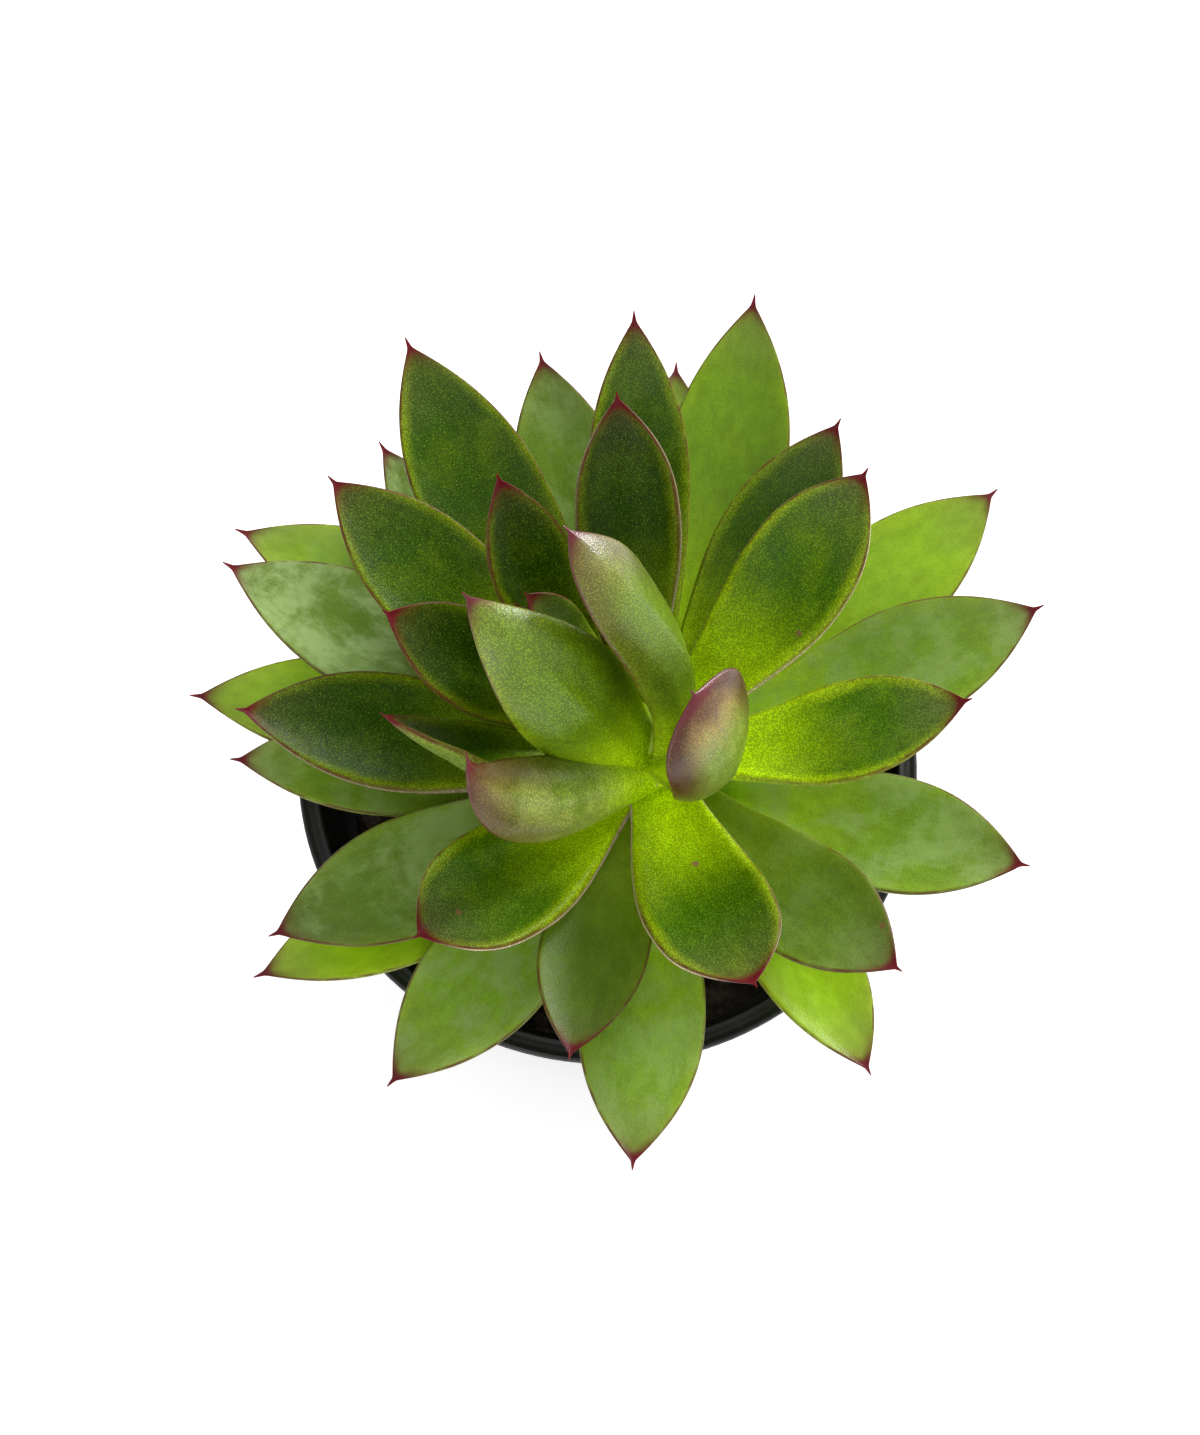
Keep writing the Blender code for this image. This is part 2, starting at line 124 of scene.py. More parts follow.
# Leaf meshes: rings along the blade, and points across each face of a ring. Values that end in
# _LENGTH are shares of the leaf's length.
RINGS = 74
ACROSS = 26
EDGE_THICKNESS = 0.65  # thickness of the margins
ROOT_SUNK = 2.6  # how far a leaf's root runs on into the stem, over its first rings
SUNK_RINGS = 3
LEAF_SHARP = 70.0
RING_CROWDING = 1.5  # how much closer rings lie towards the tip
SPINE_STEPS = 201
STEM_STEPS = 200
BLADE_END = 0.98  # share of the length where the blade runs out into its point
POINT_REACH = 3.5  # how long the thin point is
POINT_RADIUS = 0.07
POINT_SLOPE = 0.17
ROOT_THICKNESS = 0.72  # as a share of the thickest
FAT_LENGTH = 0.7  # where the blade swells and thins again
TIP_LENGTH = 0.55  # where it thins towards the tip
TIP_POWER = 0.8
LEAST_THICKNESS = 0.1
DEPTH_TO_HALF_WIDTH = 1.5
DEPTH_SPARE = 0.1
ROOT_CUP = 40.0
CUP_LENGTH = 0.5  # where the root's cup changes to the blade's
ROLL_LENGTH = 0.7  # where the root's roll changes to the blade's
EDGE_SHARE = 0.6  # the margins are at most this share of the blade's thickness
ROUNDING = 0.6  # width of a margin's rounding, as a share of its thickness
SWELLING_POWER = 0.68  # how fully the underside swells between the margins
KEEL_WIDTH = 0.16  # as a share of half the width
RIPPLE_HEIGHT = 0.22
RIPPLE_TO_HALF_WIDTH = 1 / 9.0
RIPPLES = ((1.0, 1.6), (0.5, 3.7))  # strength and number of each of a margin's waves
RIPPLE_SHIFT = 1.7
OTHER_MARGIN = 0.37  # how far the right margin's waves are from the left one's
SEED_STEP = 0.618
# How far apart the leaves, and a leaf's two sides, lie in the patterns of their skins
PATTERN_STEP = 50.0
PATTERN_BACK = 40.0

# What a leaf has unless its line in the list says otherwise. Angles are in degrees.
COMMON = {
    "belly": 0.6,  # where along the blade it is widest
    "neck": 0.42,  # width at the root as a share of the widest
    "blunt": 2.2,  # how long the blade stays wide before the tip
    "thick": 4.5,
    "cup": 22.0,  # how far each margin turns up
    "keel": 0.06,  # how much thicker the blade is along its middle
    "lip": 0.0,  # extra thickness of the margins in the middle of the blade
    "bow": 0.0,  # sideways curve, positive to the left seen from the root
    "curl": 8.0,  # upward curve
    "roll": 0.0,
    "root_roll": 0.0,
    "start": None,  # azimuth and pitch at the root, where bow and curl don't give them
    "end": None,  # azimuth and pitch at the tip
    "face": None,  # azimuth that the blade's upper side looks away from
    "grip": (0.36, 0.36),  # how far the ends hold the middle line straight, as shares of its length
}


def leaf(side, root, tip, width, **shape):
    """A leaf from its place round the stem, its root's height, its tip and its width."""
    return {**COMMON, "side": side, "root": root, "tip": tip, "width": width, **shape}


# From the oldest and lowest to the youngest. Tips are x, y and height above the rim.
LEAVES = {
    # The pale lowest whorl, which spreads just above the rim
    "leaf_01": leaf(171, 0.0, (-59.0, 5.0, 10.0), 16.5, bow=-7, curl=-4),
    "leaf_02": leaf(-56, 0.0, (34.5, -48.0, 9.0), 14.0, bow=9, curl=-4),
    "leaf_03": leaf(-154, 0.5, (-47.5, -35.0, 9.0), 14.5, bow=5, curl=-4),
    "leaf_04": leaf(87, 0.0, (10.5, 59.5, 9.0), 15.0, curl=-4),
    "leaf_05": leaf(41, 1.0, (57.5, 37.5, 10.0), 17.5, curl=-3),
    "leaf_06": leaf(149, 3.0, (-54.0, 30.0, 12.0), 16.5, bow=-10, curl=-2),
    # The long outer leaves
    "leaf_07": leaf(-95, 3.0, (3.0, -60.5, 13.0), 17.0),
    "leaf_08": leaf(180, 4.5, (-52.0, -5.5, 13.0), 15.0, bow=-2),
    "leaf_09": leaf(105, 4.0, (-10.0, 56.5, 17.0), 17.5, bow=2),
    "leaf_10": leaf(-129, 4.5, (-28.5, -50.0, 13.0), 17.0),
    "leaf_11": leaf(-19, 4.0, (56.0, -21.5, 16.0), 17.0, bow=1),
    "leaf_12": leaf(78, 6.0, (21.5, 63.0, 22.0), 18.0, bow=-3),
    "leaf_13": leaf(157, 7.0, (-53.5, 21.0, 20.0), 17.5),
    "leaf_14": leaf(20, 6.5, (60.0, 14.5, 20.0), 17.5),
    "leaf_15": leaf(130, 8.0, (-33.0, 41.5, 17.0), 13.0, bow=7),
    "leaf_16": leaf(-153, 7.0, (-44.5, -31.0, 16.0), 17.0),
    "leaf_17": leaf(-46, 6.5, (37.5, -36.5, 20.0), 16.5, bow=-4),
    "leaf_18": leaf(-104, 8.0, (-5.0, -47.5, 19.0), 14.5, bow=-5),
    # The middle leaves, which rise more steeply
    "leaf_19": leaf(59, 9.0, (32.0, 38.5, 29.0), 15.5, bow=2),
    "leaf_20": leaf(93, 10.0, (3.5, 50.5, 37.0), 14.0),
    "leaf_21": leaf(178, 9.5, (-49.5, -2.0, 23.5), 16.5, lip=0.8),
    "leaf_22": leaf(122, 11.0, (-28.0, 49.5, 32.0), 18.0, bow=6),
    "leaf_23": leaf(-136, 10.5, (-24.5, -33.5, 26.0), 16.5, bow=7, blunt=3.2, lip=1.5),
    "leaf_24": leaf(-1, 11.0, (46.0, -4.5, 34.0), 14.0, bow=-6),
    "leaf_25": leaf(144, 14.5, (-37.0, 26.5, 35.0), 16.5, bow=5),
    "leaf_26": leaf(-71, 12.0, (18.0, -40.5, 30.0), 16.5, bow=-8, blunt=3.2, neck=0.5, lip=1.3),
    "leaf_27": leaf(45, 12.5, (33.5, 25.0, 40.0), 15.5, bow=-6, blunt=2.6, lip=0.7),
    "leaf_28": leaf(-175, 13.5, (-29.0, -6.0, 33.0), 11.0, bow=25, roll=45, cup=38, thick=4.0),
    "leaf_29": leaf(96, 14.5, (1.0, 31.5, 48.0), 14.0, bow=-3, cup=48, blunt=2.8, thick=4.0,
                    lip=0.6),
    "leaf_30": leaf(166, 16.0, (-28.5, 5.5, 39.0), 13.5, bow=3, thick=4.0),
    "leaf_31": leaf(127, 17.5, (-14.0, 21.0, 46.0), 12.0, bow=13, cup=35, thick=3.6),
    # Young leaves that arch over the bud and show their undersides
    "leaf_32": leaf(-90, 14.5, (-17.2, -15.0, 44.0), 11.0,
                    start=(211, 26), end=(102, 25), roll=150, root_roll=140, grip=(0.42, 0.23),
                    belly=0.47, neck=0.66, blunt=3.0, thick=4.0),
    "leaf_33": leaf(-52, 16.8, (9.5, -9.5, 50.0), 16.6,
                    start=(-34, 50), end=(137, 50), face=-32, grip=(0.41, 0.41),
                    belly=0.72, blunt=3.8, thick=4.0),
    "leaf_34": leaf(-60, 15.5, (-5.5, 10.7, 52.3), 13.2,
                    start=(77, 48), end=(136, 12), face=-10,
                    belly=0.64, neck=0.28, blunt=2.8, thick=4.0, keel=0.2),
    "leaf_35": leaf(-105, 19.0, (-17.7, 3.7, 48.5), 15.5,
                    start=(150, 68), end=(131, -5), face=-45, grip=(0.3, 0.4),
                    belly=0.42, neck=0.88, thick=4.0, keel=0.2),
    # The bud
    "leaf_36": leaf(110, 18.5, (-10.5, 7.0, 41.0), 8.0, curl=0, thick=2.6),
    "leaf_37": leaf(160, 18.0, (-12.0, 7.5, 36.5), 5.0, curl=0, thick=1.8),
}
LAST_PALE = 6
LAST_OUTER = 18
LAST_INNER = 31


class Look:
    """A material and the small steps that its nodes are built from. Lengths are in millimetres."""

    def __init__(self, name):
        self.material = bpy.data.materials.new(name)
        self.material.use_nodes = True
        self.tree = self.material.node_tree
        self.shader = self.tree.nodes["Principled BSDF"]

    def feed(self, socket, value):
        if isinstance(value, bpy.types.NodeSocket):
            self.tree.links.new(value, socket)
        elif isinstance(value, tuple) and len(value) == 3 and socket.type == "RGBA":
            socket.default_value = (*value, 1.0)
        else:
            socket.default_value = value

    def node(self, kind, inputs, **settings):
        made = self.tree.nodes.new(kind)
        for key, value in settings.items():
            setattr(made, key, value)
        for key, value in inputs.items():
            self.feed(made.inputs[key], value)
        return made

    def place(self):
        """The point of the surface, in millimetres."""
        coordinates = self.node("ShaderNodeTexCoord", {})
        scaled = self.node("ShaderNodeVectorMath", {0: coordinates.outputs["Object"], 3: 1 / MM},
                           operation="SCALE")
        return scaled.outputs[0]

    def stored(self, name, kind="Fac"):
        return self.node("ShaderNodeAttribute", {}, attribute_name=name).outputs[kind]

    def sum(self, a, b):
        return self.node("ShaderNodeMath", {0: a, 1: b}, operation="ADD").outputs[0]

    def times(self, a, b):
        return self.node("ShaderNodeMath", {0: a, 1: b}, operation="MULTIPLY").outputs[0]

    def most(self, a, b):
        return self.node("ShaderNodeMath", {0: a, 1: b}, operation="MAXIMUM").outputs[0]

    def wave(self, value, pitch):
        """A sine wave along value that repeats after each pitch."""
        turn = self.times(value, 2 * math.pi / pitch)
        return self.node("ShaderNodeMath", {0: turn}, operation="SINE").outputs[0]

    def ease(self, value, start, end, low=0.0, high=1.0):
        """Goes smoothly from low to high while value goes from start to end."""
        inputs = {"Value": value, "From Min": start, "From Max": end, "To Min": low, "To Max": high}
        made = self.node("ShaderNodeMapRange", inputs, interpolation_type="SMOOTHSTEP")
        return made.outputs[0]

    def mix(self, share, first, second, blend="MIX"):
        made = self.node("ShaderNodeMix", {0: share, 6: first, 7: second},
                         data_type="RGBA", blend_type=blend)
        return made.outputs[2]

    def noise(self, place, size, detail=2.0, rough=0.5, twist=0.0):
        """Soft noise from 0 to 1 with features of that size."""
        inputs = {"Vector": place, "Scale": 1.0 / size, "Detail": detail, "Roughness": rough,
                  "Distortion": twist}
        return self.node("ShaderNodeTexNoise", inputs).outputs["Fac"]

    def cells(self, place, size, rough=1.0):
        """Distance from the middle of cells of that size."""
        inputs = {"Vector": place, "Scale": 1.0 / size, "Randomness": rough}
        return self.node("ShaderNodeTexVoronoi", inputs).outputs["Distance"]

    def stretch(self, place, across, along):
        return self.node("ShaderNodeVectorMath", {0: place, 1: (across, along, 1.0)},
                         operation="MULTIPLY").outputs[0]

    def bump(self, height, depth, strength=1.0, normal=None):
        inputs = {"Height": height, "Distance": depth * MM, "Strength": strength}
        if normal is not None:
            inputs["Normal"] = normal
        return self.node("ShaderNodeBump", inputs).outputs["Normal"]

    def finish(self, **sockets):
        for name, value in sockets.items():
            self.feed(self.shader.inputs[name.replace("_", " ")], value)
        return self.material


# Colours of each kind of leaf: the middle of its upper side, its root, its margins, the middle of
# its lower side and that side's margins. The roots are paler than their own yellow-green: painted
# light that lifts the shade in the rosette's heart. veil is how much waxy bloom it has, grain how
# strongly its cells show, and band how wide the margin's colour is.
SKINS = {
    "pale": {
        "heart": (0.195, 0.345, 0.004), "root": (0.33, 0.50, 0.004), "margin": (0.24, 0.37, 0.008),
        "back": (0.20, 0.33, 0.04), "back_margin": (0.26, 0.38, 0.03),
        "veil": 0.14, "grain": 0.05, "band": 3.5, "gloss": 0.22,
    },
    "outer": {
        "heart": (0.105, 0.200, 0.004), "root": (0.33, 0.52, 0.002), "margin": (0.150, 0.245, 0.006),
        "back": (0.16, 0.25, 0.05), "back_margin": (0.20, 0.29, 0.03),
        "veil": 0.55, "grain": 0.14, "band": 2.6, "gloss": 0.16,
    },
    "inner": {
        "heart": (0.036, 0.096, 0.0002), "root": (0.42, 0.64, 0.0006), "margin": (0.185, 0.275, 0.001),
        "back": (0.17, 0.25, 0.04), "back_margin": (0.22, 0.30, 0.03),
        "veil": 0.035, "grain": 0.40, "band": 2.0, "gloss": 0.09,
    },
    "back": {
        "heart": (0.034, 0.090, 0.0004), "root": (0.46, 0.68, 0.002), "margin": (0.13, 0.22, 0.002),
        "back": (0.125, 0.225, 0.002), "back_margin": (0.20, 0.30, 0.004),
        "veil": 0.02, "grain": 0.36, "band": 2.0, "gloss": 0.45,
    },
}
BLUSH = (0.32, 0.190, 0.060)
MAUVE = (0.070, 0.022, 0.006)
CREAM = (0.35, 0.40, 0.085)
BLOOM = (0.250, 0.360, 0.120)
TIP_SHADE = (0.105, 0.105, 0.035)
EDGE_RED = (0.085, 0.014, 0.008)
CRIMSON = (0.095, 0.006, 0.009)
SPARKLE = (0.27, 0.42, 0.03)
# The underside's pale rim, brightened into a painted highlight along the rounded margin
PALE_RIM_AND_HIGHLIGHT = (0.60, 0.45, 0.33)
SCAR = (0.16, 0.085, 0.035)

CELL = 0.22  # size of the skin's cells

# What each point of a leaf's mesh stores for its look
STORED = ("rim", "tip", "along", "under", "tone_and_painted_light", "waxy", "blush", "pallor", "lip")
STORED_PLACES = ("blade", "scar")

# How much lighter each leaf is than its kind, partly its own tone and partly painted light and shade,
# and how strong its waxy bloom is
TINTS = {
    "leaf_01": (0.6, 0.4), "leaf_02": (0.7, 0.3), "leaf_03": (1.1, 0.2), "leaf_04": (-0.2, 0.5),
    "leaf_05": (0.1, 0.3), "leaf_06": (0.2, 2.0), "leaf_07": (0.9, 0.7), "leaf_08": (0.7, 0.9),
    "leaf_09": (-0.2, 0.7), "leaf_10": (1.4, 1.1), "leaf_11": (0.4, 0.9), "leaf_12": (0.7, 0.05),
    "leaf_13": (-0.2, 2.0), "leaf_14": (0.7, 0.9), "leaf_15": (-0.4, 1.8), "leaf_16": (-0.4, 1.0),
    "leaf_17": (-0.7, 0.3), "leaf_18": (-0.6, 0.1), "leaf_19": (0.1, 1.2), "leaf_20": (0.2, 2.4),
    "leaf_21": (-0.8, 0.4), "leaf_22": (-0.3, 0.4), "leaf_23": (0.7, 0.3), "leaf_24": (2.0, 1.8),
    "leaf_25": (-0.4, 0.4), "leaf_26": (0.3, 0.3), "leaf_27": (1.0, 0.5), "leaf_28": (0.0, 1.0),
    "leaf_29": (-1.0, 0.1), "leaf_30": (-1.0, 0.1), "leaf_31": (-1.0, 0.1), "leaf_32": (0.2, 0.5),
    "leaf_33": (0.25, 0.4), "leaf_34": (-0.2, 0.4), "leaf_35": (0.3, 0.3), "leaf_36": (0.2, 0.3),
    "leaf_37": (0.1, 0.3),
}


# How far the tip's flush spreads over the lower side of the young leaves, and how pale they are
BLUSHED = {"leaf_32": 0.8, "leaf_33": 1.0, "leaf_34": 0.5, "leaf_35": 0.12}
PALLOR = {"leaf_32": 0.7, "leaf_33": 0.4, "leaf_34": 0.1}

# Where a leaf has a small brown scar: millimetres to the left of its middle line and from its root
SCARS = {
    "leaf_11": (-2.8, 46.0),
    "leaf_17": (3.7, 36.0),
    "leaf_23": (0.0, 33.5),
    "leaf_26": (1.1, 16.0),
    "leaf_27": (-5.3, 22.0),
}
NO_SCAR = (0.0, -100.0)


def upper_colour(look, at, skin, patches, centre):
    """The upper side: margins, heart, a root lightened with painted light, and a duller zone before
    the tip.
    """
    colour = look.mix(centre, skin["margin"], skin["heart"])
    # The root's colour, lighter than its own yellow-green: painted light in the rosette's shaded
    # heart.
    colour = look.mix(look.ease(at["along"], 0.06, 0.62, 1.0, 0.0), colour, skin["root"])
    colour = look.mix(look.ease(patches, 0.45, 0.8, 0.0, 0.35), colour, skin["margin"])
    to_tip = look.sum(at["tip"], look.times(patches, 8.0))
    return look.mix(look.ease(to_tip, 5.0, 19.0, 0.5, 0.0), colour, TIP_SHADE)


def lower_colour(look, at, skin, patches, centre):
    """The underside: pale patches, the flush of a young leaf's tip, a root lightened with painted
    light, and the margins' pale rim with a painted highlight.
    """
    colour = look.mix(centre, skin["back_margin"], skin["back"])
    pale = look.times(look.ease(patches, 0.40, 0.62, 0.3, 1.0), at["pallor"])
    colour = look.mix(pale, colour, CREAM)
    to_tip = look.sum(at["tip"], look.times(patches, 12.0))
    pink = look.times(look.ease(to_tip, 6.0, 21.0, 1.0, 0.0), at["blush"])
    colour = look.mix(pink, colour, BLUSH)
    margins = look.ease(at["rim"], 1.4, 5.6, 1.0, 0.0)
    margins = look.times(margins, look.ease(at["tip"], 8.0, 30.0, 1.0, 0.0))
    dark = look.most(margins, look.ease(to_tip, 7.0, 13.0, 0.8, 0.0))
    colour = look.mix(look.times(dark, at["blush"]), colour, MAUVE)
    # The root, lightened with painted light as on the upper side.
    colour = look.mix(look.ease(at["along"], 0.06, 0.40, 1.0, 0.0), colour, skin["root"])
    # The pale rim of thick margins, lightened as a painted highlight on the rounded edge.
    pale_rim_and_highlight = look.times(look.ease(at["rim"], 0.1, 1.1, 1.0, 0.0), at["lip"])
    return look.mix(pale_rim_and_highlight, colour, PALE_RIM_AND_HIGHLIGHT)


def with_cells(look, at, skin, colour, dots, pick, mottle):
    """The colour, shaded by cells, mottling and the leaf's tone (partly painted light and shade), with
    some cells that catch the light.
    """
    shade = look.ease(dots, 0.1, 0.6, 1.0 + skin["grain"], 1.0 - skin["grain"])
    shade = look.times(shade, look.ease(mottle, 0.3, 0.7, 0.9, 1.1))
    # Each leaf's tone: partly its own colour, partly painted light and shade.
    shade = look.times(shade, look.sum(1.0, look.times(at["tone_and_painted_light"], 0.4)))
    shading = look.node("ShaderNodeCombineColor", {0: shade, 1: shade, 2: shade}).outputs[0]
    colour = look.mix(1.0, colour, shading, "MULTIPLY")
    bright = look.times(look.ease(pick, 0.55, 0.95), look.ease(dots, 0.10, 0.36, 1.0, 0.0))
    bright = look.times(bright, look.sum(1.0, look.times(at["pallor"], -0.8)))
    return look.mix(look.times(bright, min(1.0, 1.6 * skin["grain"])), colour, SPARKLE)


def waxy_veil(look, at, skin):
    """How much waxy bloom lies on the skin: clouds with fine scuffs in them."""
    scuffs = look.noise(look.stretch(at["blade"], 1.0, 0.35), 0.7, 3.0, 0.7)
    scuffs = look.times(look.sum(scuffs, -0.5), 0.3)
    cloud = look.sum(look.noise(at["blade"], 8.0, 6.0, 0.62, 0.5), scuffs)
    veil = look.ease(cloud, 0.40, 0.66, 0.15 * skin["veil"], skin["veil"])
    return look.times(veil, at["waxy"])


def with_red_edge(look, at, colour):
    """The colour, with a broken red line along the margins, a red tip and a crimson point."""
    broken = look.ease(look.noise(at["blade"], 3.0, 3.0), 0.35, 0.6, 0.35, 1.0)
    near_tip = look.times(look.ease(at["along"], 0.15, 0.9, 0.25, 1.0), broken)
    line = look.times(look.ease(at["rim"], 0.05, 0.36, 1.0, 0.0), near_tip)
    # The red line gives way to the pale rim and its painted highlight.
    pale_rim_and_highlight = look.times(look.times(at["under"], at["lip"]), -0.85)
    line = look.times(line, look.sum(1.0, pale_rim_and_highlight))
    colour = look.mix(look.times(line, 0.9), colour, EDGE_RED)
    halo = look.ease(at["tip"], 1.8, 6.0, 0.85, 0.0)
    halo = look.times(halo, look.ease(at["rim"], 0.3, 2.0, 1.0, 0.25))
    colour = look.mix(halo, colour, EDGE_RED)
    return look.mix(look.ease(at["tip"], 1.7, 3.0, 1.0, 0.0), colour, CRIMSON)


def with_scar(look, at, colour):
    """The colour, with a ragged brown scar where the leaf has one."""
    apart = look.node("ShaderNodeVectorMath", {0: at["blade"], 1: at["scar"]}, operation="DISTANCE")
    ragged = look.times(look.noise(at["blade"], 0.5, 3.0), 1.1)
    ragged = look.sum(apart.outputs["Value"], ragged)
    return look.mix(look.ease(ragged, 0.75, 1.15, 0.9, 0.0), colour, SCAR)


def leaf_look(name, skin):
    """A leaf's skin, from its distances to the margin and the tip and its place along the blade."""
    look = Look(name)
    at = {key: look.stored(key) for key in STORED}
    at.update({key: look.stored(key, "Vector") for key in STORED_PLACES})
    blade = at["blade"]
    patches = look.noise(blade, 7.0, 3.0, 0.55, 0.3)
    mottle = look.noise(look.stretch(blade, 1.0, 0.5), 1.6, 3.0, 0.6)
    cell = look.node("ShaderNodeTexVoronoi", {"Vector": blade, "Scale": 1.0 / CELL})
    dots = cell.outputs["Distance"]
    pick = look.node("ShaderNodeSeparateColor", {0: cell.outputs["Color"]}).outputs[0]

    inward = look.sum(at["rim"], look.times(look.sum(patches, -0.5), 2.6))
    centre = look.ease(inward, 0.0, skin["band"])
    upper = upper_colour(look, at, skin, patches, centre)
    lower = lower_colour(look, at, skin, patches, centre)
    colour = look.mix(at["under"], upper, lower)
    colour = with_cells(look, at, skin, colour, dots, pick, mottle)
    veil = waxy_veil(look, at, skin)
    colour = look.mix(veil, colour, BLOOM)
    colour = with_red_edge(look, at, colour)
    colour = with_scar(look, at, colour)

    uneven = look.bump(look.noise(blade, 3.6, 2.0, 0.5), 0.28, 0.55)
    uneven = look.bump(dots, 0.05, 0.6, uneven)
    roughness = look.sum(look.ease(mottle, 0.2, 0.8, 0.26, 0.38), look.times(veil, 0.4))
    return look.finish(Base_Color=colour, Roughness=roughness, Normal=uneven,
                       Subsurface_Weight=0.08, Subsurface_Scale=0.0012,
                       Specular_IOR_Level=skin["gloss"])


def leaf_materials():
    return {kind: leaf_look(f"leaf_{kind}_skin", skin) for kind, skin in SKINS.items()}


def unit(vector):
    return vector / np.linalg.norm(vector, axis=-1, keepdims=True)


def heading(azimuth, pitch):
    """The unit direction of an azimuth and a pitch in degrees."""
    turn = math.radians(azimuth)
    rise = math.radians(pitch)
    level = math.cos(rise)
    return np.array([math.cos(turn) * level, math.sin(turn) * level, math.sin(rise)])


def stem_curve(t):
    """Points of the leaning part of the stem's line, t from 0 at the soil to 1 at the top."""
    t = np.atleast_1d(t)[:, None]
    neck, bend, top = (np.array(p) for p in (STEM_NECK, STEM_BEND, STEM_TOP))
    return (1 - t) ** 2 * neck + 2 * t * (1 - t) * bend + t * t * top


def stem_centre(height):
    """The point of the stem's line at a height above the rim. Above its top it runs on straight."""
    line = stem_curve(np.linspace(0.0, 1.0, STEM_STEPS))
    if height > line[-1, 2]:
        step = unit(line[-1] - line[-2])
        return line[-1] + step * (height - line[-1, 2]) / step[2]
    return np.array([np.interp(height, line[:, 2], line[:, k]) for k in range(3)])


def leaf_ends(shape):
    """Root and tip of a leaf, above the rim."""
    root = stem_centre(shape["root"]) + ROOT_DISTANCE * heading(shape["side"], 0.0)
    return root, np.array(shape["tip"])


def leaf_spine(shape, share):
    """A leaf's middle line: points, directions, shares of its length, azimuth and length."""
    root, tip = leaf_ends(shape)
    run = tip - root
    length = np.linalg.norm(run)
    azimuth = math.degrees(math.atan2(run[1], run[0]))
    pitch = math.degrees(math.atan2(run[2], math.hypot(run[0], run[1])))
    start = shape["start"] or (azimuth + shape["bow"], pitch - shape["curl"])
    end = shape["end"] or (azimuth - shape["bow"], pitch + shape["curl"])
    near = root + heading(*start) * length * shape["grip"][0]
    far = tip - heading(*end) * length * shape["grip"][1]

    def at(t):
        t = t[:, None]
        return ((1 - t) ** 3 * root + 3 * t * (1 - t) ** 2 * near
                + 3 * t * t * (1 - t) * far + t ** 3 * tip)

    fine = np.linspace(0.0, 1.0, SPINE_STEPS)
    steps = np.linalg.norm(np.diff(at(fine), axis=0), axis=1)
    travelled = np.concatenate([[0.0], np.cumsum(steps)])
    nudge = 1e-4
    tangents = unit(at(np.minimum(share + nudge, 1.0)) - at(np.maximum(share - nudge, 0.0)))
    part = np.interp(share, fine, travelled) / travelled[-1]
    return at(share), tangents, part, azimuth, travelled[-1]


def half_widths(shape, part, length):
    """Half the width: it swells from the neck to the belly and ends in a thin point."""
    belly = shape["belly"]
    rise = np.clip(part / belly, 0.0, 1.0)
    swelling = shape["neck"] + (1 - shape["neck"]) * rise * rise * (3 - 2 * rise)
    fall = np.clip((part - belly) / (BLADE_END - belly), 0.0, 1.0)
    tapering = 1 - fall ** shape["blunt"]
    blade = shape["width"] / 2 * np.where(part < belly, swelling, tapering)
    to_tip = (1 - part) * length
    point = np.where(to_tip > POINT_REACH, 0.0, POINT_RADIUS + POINT_SLOPE * to_tip)
    return (np.maximum(blade, 0.0) ** 4 + point ** 4) ** 0.25


def thicknesses(shape, part):
    """The thickness along the blade, fullest in the lower half and falling to the tip."""
    swelling = np.sin(np.pi * np.clip(part / FAT_LENGTH, 0.0, 1.0))
    fat = ROOT_THICKNESS + (1 - ROOT_THICKNESS) * swelling
    fall = np.clip((1 - part) / TIP_LENGTH, 0.0, 1.0) ** TIP_POWER
    return np.maximum(shape["thick"] * fat * fall, LEAST_THICKNESS)


def ripple(seed, along):
    """A faint unevenness of one margin, in millimetres."""
    shift = seed * RIPPLE_SHIFT
    wave = sum(size * np.sin(2 * np.pi * (along * count + shift)) for size, count in RIPPLES)
    return RIPPLE_HEIGHT * wave * np.sin(np.pi * np.clip(along, 0, 1)) ** 1.5


def leaf_frame(shape, part, tangents, azimuth):
    """The directions across the blade and out of its upper side, turned by its roll."""
    face = math.radians(azimuth if shape["face"] is None else shape["face"])
    level = np.array([-math.sin(face), math.cos(face), 0.0])
    across = unit(level - (tangents @ level)[:, None] * tangents)
    up = np.cross(tangents, across)
    share = np.clip(part / ROLL_LENGTH, 0, 1)
    turn = np.radians(shape["root_roll"] + (shape["roll"] - shape["root_roll"]) * share)[:, None]
    rolled = across * np.cos(turn) + up * np.sin(turn)
    return rolled, up * np.cos(turn) - across * np.sin(turn)


def leaf_ring(shape, part, half, depth, bend, lanes, uneven):
    """The upper and the lower face of one ring, as places across the blade and out of it."""
    turn = bend * lanes
    side = half / bend * np.sin(turn)
    rise = half / bend * (1 - np.cos(turn))
    rise = rise + uneven * np.abs(lanes) ** 3 * half * RIPPLE_TO_HALF_WIDTH
    lip = shape["lip"] * np.sin(np.pi * min(1.0, part)) ** 2
    edge = min(EDGE_THICKNESS + lip, depth * EDGE_SHARE)
    rounding = min(0.5, ROUNDING * edge / half)
    past = np.clip((np.abs(lanes) - 1 + rounding) / rounding, 0.0, 0.98)
    round_edge = edge * (1 - np.sqrt(1 - past ** 2)) / 2
    keel = 1 + shape["keel"] * np.exp(-(lanes / KEEL_WIDTH) ** 2)
    body = edge + (depth - edge) * (1 - lanes ** 2) ** SWELLING_POWER * keel - round_edge
    upper = (side + round_edge * np.sin(turn), rise - round_edge * np.cos(turn))
    lower = (side + body * np.sin(turn), rise - body * np.cos(turn))
    return upper, lower


def ring_faces(rows, loop):
    """Faces of a closed tube of rings, with a flat cap on each end."""
    faces = []
    for row in range(rows):
        for k in range(loop):
            a = row * loop + k
            b = row * loop + (k + 1) % loop
            faces.append((a, a + loop, b + loop, b))
    faces.append(tuple(range(loop)))
    faces.append(tuple(reversed(range(rows * loop, (rows + 1) * loop))))
    return faces


